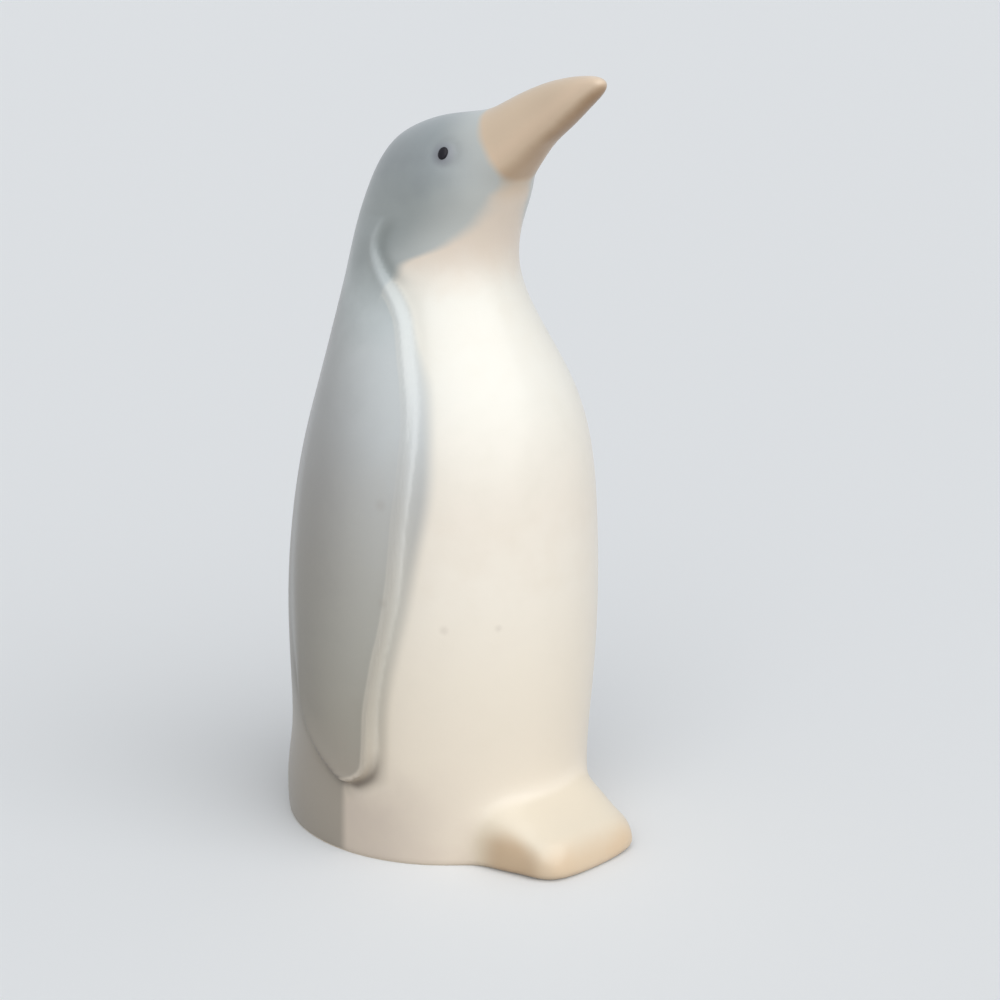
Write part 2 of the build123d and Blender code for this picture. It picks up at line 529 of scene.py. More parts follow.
def form_tree():
    """The figure's form: its signed distance at a place, and what the wings, feet and tail add there."""
    inputs = [("Place", "NodeSocketVector", None), *size_inputs]
    tree = new_tree("penguin form", inputs, [(name, "NodeSocketFloat") for name in form_outputs])
    sheet = Sheet(tree)
    given = sheet.node("NodeGroupInput")
    sizes = {name: given[name] for name in form_sizes}
    place = sheet.node("ShaderNodeSeparateXYZ", None, {0: given["Place"]})
    x, y, z = place["X"], place["Y"], place["Z"]

    casting = Ovals(casting_levels(), casting_span, casting_blur)
    body, middle, depth_squared, ratio, reach_squared = casting.distance(sheet, x, y, z)
    inward = (depth_squared.math("MAXIMUM", 0) / (reach_squared + tiny_area)) ** 0.5
    edge, inside_rear = wing_inside(sheet, middle + (y - middle) * inward, z)
    wing = wing_relief(sheet, edge, inside_rear, z, sizes)
    winged = body - wing

    forward = -y
    feet = Ovals(foot_levels(), foot_span, foot_blur).distance(sheet, x, z, forward, foot_squareness)[0]
    feet = feet + (sizes["Toe rounding"] - z).math("MAXIMUM", 0).squared() * toe_undercut_share
    feet = feet.math("MAXIMUM", foot_start - forward)
    footed = winged.math("SMOOTH_MIN", feet, sizes["Foot fillet"])

    tail = Ovals(tail_levels(), tail_span, tail_blur).distance(sheet, x, y, z)[0]
    tail = tail.math("SMOOTH_MAX", z - tail_height, end_softness)
    tailed = footed.math("SMOOTH_MIN", tail, sizes["Tail fillet"])

    ahead, above = y - beak_root.y, z - beak_root.z
    along = above * sin(beak_pitch) - ahead * cos(beak_pitch)
    rise = above * cos(beak_pitch) + ahead * sin(beak_pitch)
    beak = Ovals(beak_levels(), beak_span, beak_blur).distance(sheet, x, rise, along, beak_squareness)[0]
    beak = beak.math("SMOOTH_MAX", beak_start - along, end_softness)
    beaked = tailed.math("SMOOTH_MIN", beak, sizes["Beak fillet"])

    off_eye = distance_from_eyes(x, y, z)
    pressed = beaked - sizes["Eye rim"] * off_eye.bell(eye_rim_radius, eye_rim_width)
    pressed = pressed + sizes["Eye hollow"] * off_eye.bell(eye_hollow_radius, eye_hollow_width)
    under = (sizes["Base rounding"] - z).math("MAXIMUM", 0)
    rounded = pressed + under.squared() * undercut_share

    half_depth = depth_squared.math("MAXIMUM", tiny_area) ** 0.5
    results = [rounded, wing, winged - footed, footed - tailed]
    results += [middle, half_depth, half_depth / ratio, edge, inside_rear]
    sheet.node("NodeGroupOutput", None, dict(zip(form_outputs, results)))
    return tree


def figure_tree():
    """The figure's skin: the form's zero surface, drawn onto it exactly, with what the pieces need."""
    inputs = [("Voxel", "NodeSocketFloat", voxel), *size_inputs, ("Material", "NodeSocketMaterial", None)]
    tree = new_tree("penguin skin", inputs, [("Geometry", "NodeSocketGeometry")])
    sheet = Sheet(tree)
    given = sheet.node("NodeGroupInput")
    form = form_tree()

    def form_at(place):
        sockets = {name: given[name] for name in form_sizes}
        return sheet.node("GeometryNodeGroup", {"node_tree": form}, {**sockets, "Place": place})

    corners = np.array([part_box(name) for name in frame["nodes"]]) / MM - (0, axis_y, 0)
    low, high = corners[:, 0].min(0) - margin, corners[:, 1].max(0) + margin
    position = sheet.node("GeometryNodeInputPosition")
    here = form_at(position)
    sockets = {"Density": -here["Distance"], "Background": -voxel, "Min": tuple(low), "Max": tuple(high)}
    for letter, span in zip("XYZ", high - low):
        sockets["Resolution " + letter] = (span / given["Voxel"]).math("ROUND")
    volume = sheet.node("GeometryNodeVolumeCube", None, sockets)
    skin = sheet.node("GeometryNodeVolumeToMesh", None, {"Volume": volume, "Threshold": 0.0})

    # The form's slope and distance at a point, from four places round it, then the move that takes it onto
    # the form
    slope, distance = (0, 0, 0), 0
    for tap in ((1, -1, -1), (-1, -1, 1), (-1, 1, -1), (1, 1, 1)):
        offset = tuple(tap_step * side for side in tap)
        value = form_at(sheet.vector("ADD", position, offset))["Distance"]
        slope = sheet.vector("ADD", slope, sheet.scaled(offset, value))
        distance = distance + value
    slope = sheet.scaled(slope, 1 / (4 * tap_step**2))
    steepness = sheet.vector("LENGTH", slope, out="Value")
    move = sheet.scaled(slope, distance / -4 / steepness.squared())
    for _ in range(drawing_rounds):
        skin = sheet.node("GeometryNodeSetPosition", None, {"Geometry": skin, "Offset": move})

    kept = {"outward": sheet.vector("NORMALIZE", slope)}
    kept.update({name: here[name] for name in form_outputs[1:]})
    for name, value in kept.items():
        kind = "FLOAT_VECTOR" if name == "outward" else "FLOAT"
        settings = {"data_type": kind, "domain": "POINT"}
        sockets = {"Geometry": skin, "Name": name, "Value": value}
        skin = sheet.node("GeometryNodeStoreNamedAttribute", settings, sockets)
    skin = sheet.node("GeometryNodeRealizeInstances", None, {"Geometry": skin})
    skin = sheet.node("GeometryNodeSetMaterial", None, {"Geometry": skin, "Material": given["Material"]})
    sheet.node("NodeGroupOutput", None, {"Geometry": skin})
    return tree


class Columns:
    """Which columns of a skin's rows hold what."""

    place = slice(0, 3)
    outward = slice(3, 6)
    wing, feet, tail, middle, half_depth, half_width, edge, rear = range(6, 14)
    painted = {"wing_edge": edge, "wing_rear": rear, "foot_rise": feet}


def figure_skin(material):
    """Rows for the skin's points, and its triangles."""
    holder = bpy.data.objects.new("skin", bpy.data.meshes.new("skin"))
    bpy.context.scene.collection.objects.link(holder)
    modifier = holder.modifiers.new("skin", "NODES")
    modifier.node_group = figure_tree()
    given = {"Voxel": voxel, "Material": material, **form_sizes}
    for socket in modifier.node_group.interface.items_tree:
        if socket.in_out == "INPUT":
            modifier[socket.identifier] = given[socket.name]
    view = bpy.context.evaluated_depsgraph_get()
    mesh = bpy.data.meshes.new_from_object(holder.evaluated_get(view))
    bpy.data.objects.remove(holder)
    mesh.calc_loop_triangles()
    triangles = np.empty(len(mesh.loop_triangles) * 3, int)
    mesh.loop_triangles.foreach_get("vertices", triangles)
    rows = [read(mesh.vertices, "co", 3), read(mesh.attributes["outward"].data, "vector", 3)]
    rows += [read(mesh.attributes[name].data, "value", 1) for name in form_outputs[1:]]
    bpy.data.meshes.remove(mesh)
    return np.hstack(rows), triangles.reshape(-1, 3)


def read(data, name, width):
    """One property of every point, as rows."""
    values = np.empty(len(data) * width)
    data.foreach_get(name, values)
    return values.reshape(-1, width)


class Skin:
    """Points as rows of columns, and triangles, which cuts divide along lines."""

    snap = 0.15

    def __init__(self, rows, triangles):
        self.rows, self.triangles = rows, triangles
        self.pinned = np.zeros(len(rows), bool)

    def cut(self, measure):
        """Divides the triangles along the line where measure(rows) is zero. Points near it move onto it."""
        values = measure(self.rows)
        edges = np.unique(np.sort(sides_of(self.triangles), axis=1), axis=0)
        for near, far in (edges.T, edges.T[::-1]):
            crossing = values[near] * values[far] < 0
            near, far = near[crossing], far[crossing]
            share = values[near] / (values[near] - values[far])
            close = (share < self.snap) & ~self.pinned[near]
            near, far, share = near[close], far[close], share[close, None]
            self.rows[near] = self.rows[near] * (1 - share) + self.rows[far] * share
            values[near] = 0
        crossing = values[edges[:, 0]] * values[edges[:, 1]] < 0
        near, far = edges[crossing].T
        share = (values[near] / (values[near] - values[far]))[:, None]
        count = len(self.rows)
        self.rows = np.vstack([self.rows, self.rows[near] * (1 - share) + self.rows[far] * share])
        values = np.concatenate([values, np.zeros(len(near))])
        self.pinned = np.concatenate([self.pinned, np.zeros(len(near), bool)]) | (values == 0)
        new_point = {(int(a), int(b)): count + i for i, (a, b) in enumerate(zip(near, far))}
        signs = np.sign(values[self.triangles])
        mixed = (signs.min(1) < 0) & (signs.max(1) > 0)
        pieces = [self.triangles[~mixed]]
        for triangle in self.triangles[mixed].tolist():
            pieces.append(divided(triangle, new_point))
        self.triangles = np.vstack(pieces)


def divided(triangle, new_point):
    """A triangle cut in two or three along the new points on its edges."""
    middles = [new_point.get(tuple(sorted((triangle[i], triangle[(i + 1) % 3])))) for i in range(3)]
    whole = middles.index(None)
    a, b, c = (triangle[(whole + turn) % 3] for turn in range(3))
    on_bc, on_ca = middles[(whole + 1) % 3], middles[(whole + 2) % 3]
    if on_ca is None:
        return [[a, b, on_bc], [a, on_bc, c]]
    if on_bc is None:
        return [[a, b, on_ca], [on_ca, b, c]]
    return [[a, b, on_bc], [a, on_bc, on_ca], [on_ca, on_bc, c]]


def directions(points, triangles):
    """Outward directions of the points of some triangles, from the triangles themselves."""
    a, b, c = (points[triangles[:, i]] for i in range(3))
    across = np.cross(b - a, c - a)
    total = np.zeros((len(points), 3))
    for i in range(3):
        np.add.at(total, triangles[:, i], across)
    return total / np.maximum(np.linalg.norm(total, axis=1), tiny_length)[:, None]


def sides_of(triangles):
    """The three directed edges of every triangle."""
    return triangles[:, [[0, 1], [1, 2], [2, 0]]].reshape(-1, 2)


def open_edges(triangles, count):
    """Directed edges that have a triangle on one side only."""
    edges = sides_of(triangles)
    there, back = edges[:, 0] * count + edges[:, 1], edges[:, 1] * count + edges[:, 0]
    return edges[~np.isin(there, back)]


class Casting:
    """One closed piece cut from the skin: its outside, its inside drawn in from it, and the rim between."""

    def __init__(self, skin, chosen):
        self.rows = skin.rows
        self.triangles = skin.triangles[chosen]
        self.points = skin.rows[:, Columns.place].copy()
        self.origins = np.arange(len(skin.rows))
        self.outward = skin.rows[:, Columns.outward].copy()
        self.faces, self.normals = [], []

    def draw_in(self, moved, points):
        """Moves points of the outside, such as those under a wing, and takes their directions anew."""
        self.points[moved] = points[moved]
        self.outward[moved] = directions(self.points, self.triangles)[moved]

    def add_outside(self):
        self.faces += self.triangles.tolist()
        self.normals.append(self.outward[self.triangles].reshape(-1, 3))

    def add_cap(self, plane_distance):
        """Closes the loop that lies in a cutting plane with a fan."""
        edges = open_edges(self.triangles, len(self.points))
        edges = edges[np.abs(plane_distance(self.rows)[edges]).max(1) < 10 * hair]
        centre = len(self.points)
        fan = np.column_stack([edges[:, ::-1], np.full(len(edges), centre)])
        self.points = np.vstack([self.points, self.points[edges].mean((0, 1))])
        self.origins = np.append(self.origins, edges[0, 0])
        self.outward = np.vstack([self.outward, [0, 0, 0]])
        self.add_flat(fan)
        return fan

    def add_flat(self, faces):
        for face in np.asarray(faces).tolist():
            a, b, c = self.points[face[0]], self.points[face[1]], self.points[face[-1]]
            across = np.cross(b - a, c - a)
            self.faces.append(face)
            self.normals.append(np.tile(across / max(np.linalg.norm(across), tiny_length), (len(face), 1)))

    def add_inside(self, inner_points, shared, triangles):
        """The outside's triangles again, turned round, at inner_points, joined to the outside by a rim."""
        count = len(self.points)
        inner = np.where(shared, np.arange(count), np.arange(count) + count)
        self.points = np.vstack([self.points, inner_points])
        self.origins = np.tile(self.origins, 2)
        turned = inner[triangles[:, ::-1]]
        outward = directions(self.points, turned)
        self.faces += turned.tolist()
        self.normals.append(outward[turned].reshape(-1, 3))
        for a, b in open_edges(triangles, count).tolist():
            rim = list(dict.fromkeys([b, a, int(inner[a]), int(inner[b])]))
            if len(rim) > 2:
                self.add_flat([rim])

    def make(self, name, replaced, slot, material):
        used = np.unique(np.concatenate([np.array(face) for face in self.faces]))
        new = np.full(len(self.points), -1)
        new[used] = np.arange(len(used))
        mesh = smooth_mesh(name, self.points[used], [new[face].tolist() for face in self.faces])
        mesh.normals_split_custom_set(np.vstack(self.normals).tolist())
        for painted, column in Columns.painted.items():
            kept = mesh.attributes.new(painted, "FLOAT", "POINT")
            kept.data.foreach_set("value", self.rows[self.origins[used], column])
        add_piece(name, mesh, replaced, slot, material)


def smooth_mesh(name, points, faces):
    """A smooth mesh in metres, from points in millimetres from the body's axis."""
    mesh = bpy.data.meshes.new(name)
    mesh.from_pydata(((np.array(points) + (0, axis_y, 0)) * MM).tolist(), [], faces)
    mesh.polygons.foreach_set("use_smooth", [True] * len(faces))
    return mesh


def add_piece(name, mesh, replaced, slot, material):
    """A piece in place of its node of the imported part, on the figurine's one body."""
    piece = bpy.data.objects.new(name, mesh)
    bpy.context.scene.collection.objects.link(piece)
    mesh.materials.append(material)
    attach(piece, "root")
    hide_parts(replaced)


def over_seam(rows):
    """How far a place lies beyond the beak's seam."""
    ahead, above = rows[:, 1] - beak_root.y, rows[:, 2] - beak_root.z
    return above * sin(beak_pitch) - ahead * cos(beak_pitch) - beak_seam


def over_ground(rows):
    return rows[:, 2]


def over_throat(rows):
    return rows[:, 2] - throat_height


def wall_places(rows):
    """Where each point lies on the castings' ovals with nothing raised on them, and on the wall's inside."""
    flat = np.zeros(len(rows))
    across = rows[:, 0] / rows[:, Columns.half_width]
    along = (rows[:, 1] - rows[:, Columns.middle]) / rows[:, Columns.half_depth]
    around = np.column_stack([across, along, flat])
    around /= np.linalg.norm(around, axis=1)[:, None]
    under = np.maximum(form_sizes["Base rounding"] - rows[:, 2], 0) ** 2 * undercut_share
    half_width, half_depth = rows[:, Columns.half_width] - under, rows[:, Columns.half_depth] - under
    centre = np.column_stack([flat, rows[:, Columns.middle], rows[:, 2]])
    seat = centre + around * np.column_stack([half_width, half_depth, flat])
    return seat, seat - around * wall


def make_castings(material):
    """Cuts the skin along the seams, makes each casting and gives the skin's rows."""
    skin = Skin(*figure_skin(material))
    skin.cut(over_ground)
    skin.cut(over_throat)
    skin.cut(over_seam)
    for column in (Columns.wing, Columns.feet, Columns.tail):
        skin.cut(lambda rows: rows[:, column] - seat_relief)
    rows = skin.rows
    middles = rows[skin.triangles].mean(1)
    above_ground = over_ground(middles) > 0
    on_beak = over_seam(middles) > 0
    on_head = (over_throat(middles) > 0) & ~on_beak
    on_body = above_ground & (over_throat(middles) < 0)
    on_wing = middles[:, Columns.wing] > seat_relief
    on_feet = on_body & (middles[:, Columns.feet] > seat_relief)
    on_tail = on_body & (middles[:, Columns.tail] > seat_relief)
    seat, inside = wall_places(rows)
    raised = rows[:, Columns.wing:Columns.tail + 1].max(1) > seat_relief + hair

    body = Casting(skin, on_body)
    body.draw_in(raised, seat)
    body.add_outside()
    body.add_inside(inside, np.zeros(len(rows), bool), body.triangles)
    body.make("glazed_body", "body_shell", "body_glaze", material)

    head = Casting(skin, on_head)
    winged = rows[:, Columns.wing] > seat_relief + hair
    head.draw_in(winged, seat)
    head.add_outside()
    fan = head.add_cap(over_seam)
    throat = np.array([0, 0, throat_height])
    shrink = 1 - wall / (neck_depth / 2)
    inner = throat + (head.points - throat) * shrink
    head.add_inside(inner, np.zeros(len(head.points), bool), np.vstack([head.triangles, fan]))
    head.make("glazed_head", "head_shell", "head_glaze", material)

    beak = Casting(skin, on_beak)
    beak.add_outside()
    beak.add_cap(over_seam)
    beak.make("glazed_beak", "beak", "beak_glaze", material)

    sides = {"right": middles[:, 0] < 0, "left": middles[:, 0] > 0}
    for side, chosen in sides.items():
        wing = Casting(skin, on_wing & chosen & above_ground)
        wing.add_outside()
        wing.add_inside(seat, ~raised, wing.triangles)
        wing.make(f"glazed_{side}_wing", f"{side}_wing", "wing_glaze", material)
    for name, chosen, slot in (("feet", on_feet, "foot_glaze"), ("tail", on_tail, "wing_glaze")):
        block = Casting(skin, chosen)
        block.add_outside()
        block.add_inside(seat, ~raised, block.triangles)
        block.make("glazed_" + name, name, slot, material)
    return rows


def paint(red, green, blue):
    """A colour as a screen shows it, 0 to 255, in linear light."""
    return (*(((value / 255 + 0.055) / 1.055) ** 2.4 for value in (red, green, blue)), 1)


# Colours under the glaze; several stand partly or wholly for painted shade and a painted highlight
throat_blush, low_beige_and_shade = paint(243, 231, 218), paint(214, 203, 191)
beak_tan, beak_ridge, beak_brown_and_shade = paint(229, 208, 183), paint(241, 217, 192), paint(172, 138, 102)
foot_cream, toe_tan, foot_side_shade = paint(235, 224, 204), paint(229, 203, 170), paint(207, 183, 153)
unglazed = paint(228, 219, 204)
crease_shade_brown, violet_eye_shade = paint(96, 84, 73), paint(128, 130, 143)
cap_pale, hook_highlight, hook_shade = paint(208, 214, 214), paint(212, 219, 223), paint(132, 141, 141)
enamel_black, enamel_violet, speck_brown = paint(22, 19, 28), paint(34, 30, 42), paint(150, 136, 124)
bisque_patch, bisque_grain = paint(208, 196, 178), paint(176, 160, 140)

# The whites of the breast and the greys of the back: height in millimetres and colour. Both grow darker low
# down, partly as the paint's own tone and partly as painted shade of the lower body.
creams = [
    (0, paint(238, 226, 210)),
    (9, paint(248, 238, 222)),
    (38, paint(252, 245, 231)),
    (57, paint(254, 249, 238)),
    (74, paint(252, 246, 235)),
    (96, paint(248, 247, 239)),
]
greys = [
    (0, paint(168, 161, 150)),
    (18, paint(171, 164, 153)),
    (30, paint(173, 170, 160)),
    (46, paint(183, 183, 176)),
    (62, paint(190, 191, 187)),
    (78, paint(197, 200, 200)),
    (90, paint(206, 212, 215)),
    (104, paint(208, 215, 218)),
    (111, paint(203, 212, 215)),
    (118, paint(181, 190, 192)),
    (123, paint(165, 174, 176)),
    (134, paint(165, 174, 176)),
    (142, paint(149, 157, 161)),
    (150, paint(158, 167, 171)),
]
grey_top = greys[-1][0]

# Where the head's grey ends: height over the throat, place from the axis, softness of the edge
cap_edge = [
    (-8.0, -4.4, 2.0),
    (-4.0, -4.6, 3.0),
    (0.0, -5.2, 3.4),
    (2.7, -6.1, 3.4),
    (4.5, -7.3, 3.4),
    (5.6, -9.6, 3.6),
    (6.8, -12.4, 3.6),
    (8.8, -15.4, 3.4),
    (11.8, -18.4, 3.0),
    (15.2, -20.9, 2.4),
    (18.6, -22.8, 1.9),
    (20.6, -24.1, 2.0),
    (23.0, -24.0, 2.2),
    (25.5, -23.1, 2.4),
    (28.0, -21.8, 2.4),
    (30.4, -20.6, 2.4),
    (32.0, -20.0, 2.2),
    (33.5, -19.4, 2.2),
    (35.0, -19.2, 2.2),
]

# Where the grey ends on the body's side: place from the axis, softness of the edge
side_edge, side_softness = -4.2, 2.6

# How much grey lies over the wing's bead and in its groove, by height: partly drifted paint, partly painted
# shade in the groove
spray_and_shade_shares = [
    (0, 0.2),
    (24, 0.6),
    (36, 0.68),
    (57, 0.75),
    (74, 0.9),
    (86, 0.92),
    (97, 0.86),
    (105, 0.78),
    (112, 0.75),
    (118, 0.75),
]

# The height at which the beak's tan begins, and the line below which its underside turns brown, partly as
# painted shade
beak_line = throat_height + 18.5
ridge_start = Vector((0, -25.6, 141.0))
ridge_lean = radians(38)

# Where each coat starts and is full, in millimetres: heights, depths from the axis, rises over the feet's
# seat, or distances inside the wing's edges. A band has its middle and width.
beige_heights, beige_depths = (8, 25), (-33, -11)
blush_heights = 114, 127
cream_rises, toe_rises, toe_band = (-0.3, 2.0), (8.5, 13.5), (3.0, 5.0)
flank_reaches, flank_rises, flank_heights = (12.2, 15.0), (0, 5), (5.5, 10.5)
root_heights = beak_line - 3.5, beak_line + 3.5
ridge_band, brown_slope = (-2.8, 1.6), (-1.4, 0.9)
brown_heights, brown_depths = (138.0, 139.8), (-26, -35)
deep_slope, deep_heights, deep_tint = (3, 23), (16, 26), (0.68, 0.66, 0.65)
behind_slope, behind_tint = (-2, 5), (0.8, 0.79, 0.78)
neck_heights, spine_depths, spine_rise = (109, 121), (10, 17), 6
pale_heights, pale_slope = (118, 128), (-2, 12)
cap_heights = throat_height - 8.2, throat_height - 7.8
wing_slope, wing_heights = (0.3, 1.9), (throat_height - 4, throat_height + 4)
# Grey over the wing's bead, in its groove and faintly beyond: partly drifted paint, partly painted shade
spray_shade_reach, spray_shade_width, spray_shade_heights = 4.3, 3.2, (throat_height, throat_height + 3)
spray_shade_swell, belly_band = 1.6, (77, 13)
narrowing_heights, reach_lost, width_lost = (98, 110), 2.1, 1.8
mist_shade_slope, mist_shade_share = (-9, -2), 0.08
hook_heights, hook_top, hollow_heights = (106, 114), (128, 132), (117, 121)
hook_highlight_band, hollow_band = (0.4, 0.6), (-2.2, 1.6)
rear_shade_band, rear_shade_slope, rear_shade_heights = (0.1, 1.5), (-2.0, 0.5), (27, 40)
tip_shade_band, tip_shade_slope, tip_shade_heights = (-1.0, 1.0), (-0.5, 1.5), (16, 25)
halo_band, ring_heights = (2.3, 0.7), (0.25, 0.45)
cap_steps, spray_shade_steps = 45, 30

# How strongly the thin coats cover, painted highlight and painted shades among them
ridge_cover, pale_cover, hook_highlight_cover, hollow_cover = 0.6, 0.95, 0.25, 0.45
crease_shade_cover, halo_cover, speck_cover = 0.7, 0.5, 0.15

# Specks fired into the glaze: place and reach
specks = [
    ((-22.9, -26.0, 51.6), 1.4),
    ((-14.4, -32.9, 51.6), 1.2),
    ((-30.3, -16.1, 56.7), 1.6),
    ((-29.3, -14.9, 76.5), 1.9),
]


class Shade(Sheet):
    """A material's node tree, in millimetres from the body's axis."""

    def __init__(self, name):
        self.material = bpy.data.materials.new(name)
        self.material.use_nodes = True
        super().__init__(self.material.node_tree)
        self.shader = self.tree.nodes["Principled BSDF"]
        object_place = self.node("ShaderNodeTexCoord", None, None, "Object")
        self.place = self.vector("MULTIPLY_ADD", object_place, (1 / MM,) * 3, (0, -axis_y, 0))
        apart = self.node("ShaderNodeSeparateXYZ", None, {0: self.place})
        self.x, self.y, self.z = apart["X"], apart["Y"], apart["Z"]

    def noise(self, scale, detail=2.0, roughness=0.5):
        sockets = {"Vector": self.place, "Scale": scale, "Detail": detail, "Roughness": roughness}
        return self.node("ShaderNodeTexNoise", None, sockets)

    def kept(self, name):
        """A value kept on the piece's points."""
        return self.node("ShaderNodeAttribute", {"attribute_name": name}, None, "Fac")

    def over(self, under, colour, share):
        """A colour laid over another."""
        return self.node("ShaderNodeMix", {"data_type": "RGBA"}, {0: share, 6: under, 7: colour}, 2)

    def finish(self, **sockets):
        for name, value in sockets.items():
            self.feed(self.shader.inputs[name.replace("_", " ")], value)
        return self.material

    def bump(self, height, depth, strength=1.0):
        """Normals for a relief: its height from 0 to 1, and its depth in millimetres."""
        sockets = {"Height": height, "Distance": depth * MM, "Strength": strength}
        return self.node("ShaderNodeBump", None, sockets)

    def by_height(self, heights, values, steps):
        """A value that follows a smooth curve through those at some heights."""
        places = np.linspace(heights[0], heights[-1], steps)
        return self.curve(self.z, heights[0], heights[-1], spline(heights, values, places))


class Porcelain(Shade):
    """The figure's tree: coats of paint laid one over another."""

    def __init__(self):
        super().__init__("airbrushed_porcelain")
        self.drift = self.noise(scale=0.16) - 0.5
        self.grain = self.noise(scale=1.7, detail=3.0) - 0.5
        self.edge, self.rear, self.rise = (self.kept(name) for name in Columns.painted)
        self.colour = self.bands(creams, 14)

    def drifting(self, place, reach):
        """A place shifted by up to half of reach, here forwards and there back, as an airbrush drifts."""
        return place + self.drift * reach

    def bands(self, colours, reach):
        """Colours that change with height, between the heights given with them."""
        stops = [(height / grey_top, colour) for height, colour in colours]
        place = self.drifting(self.z, reach) / grey_top
        return self.node("ShaderNodeValToRGB", {"stops": stops}, {0: place})

    def coat(self, colour, share):
        """Lays a colour over what is painted so far."""
        self.colour = self.over(self.colour, colour, share)


def paint_whites(bird):
    """Beige low on the back, partly painted shade near the ground, and a blush on the throat."""
    # Painted shade: beige low on the back and sides near the ground, partly the paint's own tone
    low = 1 - bird.drifting(bird.z, 5).smooth_step(*beige_heights)
    bird.coat(low_beige_and_shade, low * bird.y.smooth_step(*beige_depths))
    bird.coat(throat_blush, bird.drifting(bird.z, 6).smooth_step(*blush_heights))


def paint_feet(bird):
    """Cream feet, tan along the toes and duller on their sides, the dullness partly painted shade."""
    bird.coat(foot_cream, bird.drifting(bird.rise, 1).smooth_step(*cream_rises))
    bird.coat(toe_tan, bird.drifting(bird.rise, 2).smooth_step(*toe_rises) * bird.z.bell(*toe_band))
    # The duller sides of the feet are partly paint and partly painted shade
    flank = abs(bird.x).smooth_step(*flank_reaches) * bird.rise.smooth_step(*flank_rises)
    bird.coat(foot_side_shade, flank * (1 - bird.z.smooth_step(*flank_heights)))


def paint_beak(bird):
    """A tan beak, paler along its ridge and brown underneath, the brown partly painted shade."""
    height = bird.drifting(bird.z, 1)
    root = height.smooth_step(*root_heights)
    bird.coat(beak_tan, root)
    ahead, above = bird.y - ridge_start.y, bird.z - ridge_start.z
    below_ridge = bird.drifting(-(above * cos(ridge_lean) + ahead * sin(ridge_lean)), 0.8)
    bird.coat(beak_ridge, below_ridge.bell(*ridge_band) * ridge_cover * root)
    # The brown underside is partly paint and partly painted shade
    brown = below_ridge.smooth_step(*brown_slope) * height.smooth_step(*brown_heights)
    bird.coat(beak_brown_and_shade, brown * (0.5 + 0.5 * bird.y.smooth_step(*brown_depths)))


def back_grey(bird, behind_cap_edge):
    """The colour of the grey: deeper on the back, and pale where the cap ends on the face."""
    z, grey = bird.z, bird.bands(greys, 8)
    neck = (z - spine_rise * bird.y.smooth_step(*spine_depths)).smooth_step(*neck_heights)
    deep = bird.drifting(bird.edge, 5).smooth_step(*deep_slope) * (1 - neck) * z.smooth_step(*deep_heights)
    behind_wing = 1 - bird.rear.smooth_step(*behind_slope)
    grey = bird.over(grey, bird.vector("MULTIPLY", grey, deep_tint), deep)
    grey = bird.over(grey, bird.vector("MULTIPLY", grey, behind_tint), deep * behind_wing)
    pale = z.smooth_step(*pale_heights) * (1 - behind_cap_edge.smooth_step(*pale_slope))
    return bird.over(grey, cap_pale, pale_cover * pale)


def spray_and_groove_shade(bird):
    """How much grey lies over the wing's bead and in its groove, less widely towards the shoulder: partly
    drifted paint, partly painted shade.
    """
    edge, z = bird.edge, bird.z
    strength = bird.by_height(*np.array(spray_and_shade_shares).T, spray_shade_steps)
    strength = strength * (1 - z.smooth_step(*spray_shade_heights))
    narrowing = z.smooth_step(*narrowing_heights)
    reach = edge + spray_shade_reach + spray_shade_swell * z.bell(*belly_band) - reach_lost * narrowing
    spread = (reach / (spray_shade_width - width_lost * narrowing)).smooth_step(0, 1)
    return strength * ((1 - mist_shade_share) * spread + mist_shade_share * edge.smooth_step(*mist_shade_slope))


def grey_share(bird, behind_cap_edge, cap_softness):
    """Where the grey lies: on the cap, the back and the wings, and over the wings' beads and in their
    grooves, partly as painted shade.
    """
    on_head = bird.z.smooth_step(*cap_heights)
    cap = (behind_cap_edge / cap_softness).smooth_step(-0.5, 0.5) * on_head
    side = bird.drifting(bird.y - side_edge, 0.5) / side_softness
    side = side.smooth_step(-0.5, 0.5) * (1 - on_head)
    wing = bird.drifting(bird.edge, 0.3).smooth_step(*wing_slope) * (1 - bird.z.smooth_step(*wing_heights))
    grey = cap.math("MAXIMUM", side).math("MAXIMUM", wing).math("MAXIMUM", spray_and_groove_shade(bird))
    return grey * (1 + bird.grain * 0.05)


def paint_greys(bird):
    """The airbrushed grey, with a painted highlight along each wing's hooked top and a painted shade in the
    hollow beside it.
    """
    rises, places, softnesses = np.array(cap_edge).T
    heights = throat_height + rises
    behind_cap_edge = bird.drifting(bird.y - bird.by_height(heights, places, cap_steps), 1.2)
    cap_softness = bird.by_height(heights, softnesses, cap_steps)
    bird.coat(back_grey(bird, behind_cap_edge), grey_share(bird, behind_cap_edge, cap_softness))
    z, edge = bird.z, bird.edge
    # Painted highlight on the hook's ridge, and painted shade in the hollow beside it
    hook = z.smooth_step(*hook_heights) * (1 - z.smooth_step(*hook_top))
    bird.coat(hook_highlight, hook_highlight_cover * hook * edge.bell(*hook_highlight_band))
    bird.coat(hook_shade, hollow_cover * hook * z.smooth_step(*hollow_heights) * edge.bell(*hollow_band))


def paint_crease_shades(bird):
    """Painted shade in the wing's rear crease and round its tip."""
    # Painted shade where the wing's rear crease and its tip would be shaded
    behind = bird.rear.bell(*rear_shade_band) * bird.edge.smooth_step(*rear_shade_slope)
    behind = behind * (1 - bird.z.smooth_step(*rear_shade_heights))
    below = bird.edge.bell(*tip_shade_band) * bird.rear.smooth_step(*tip_shade_slope)
    below = below * (1 - bird.z.smooth_step(*tip_shade_heights))
    bird.coat(crease_shade_brown, crease_shade_cover * behind.math("MAXIMUM", below))


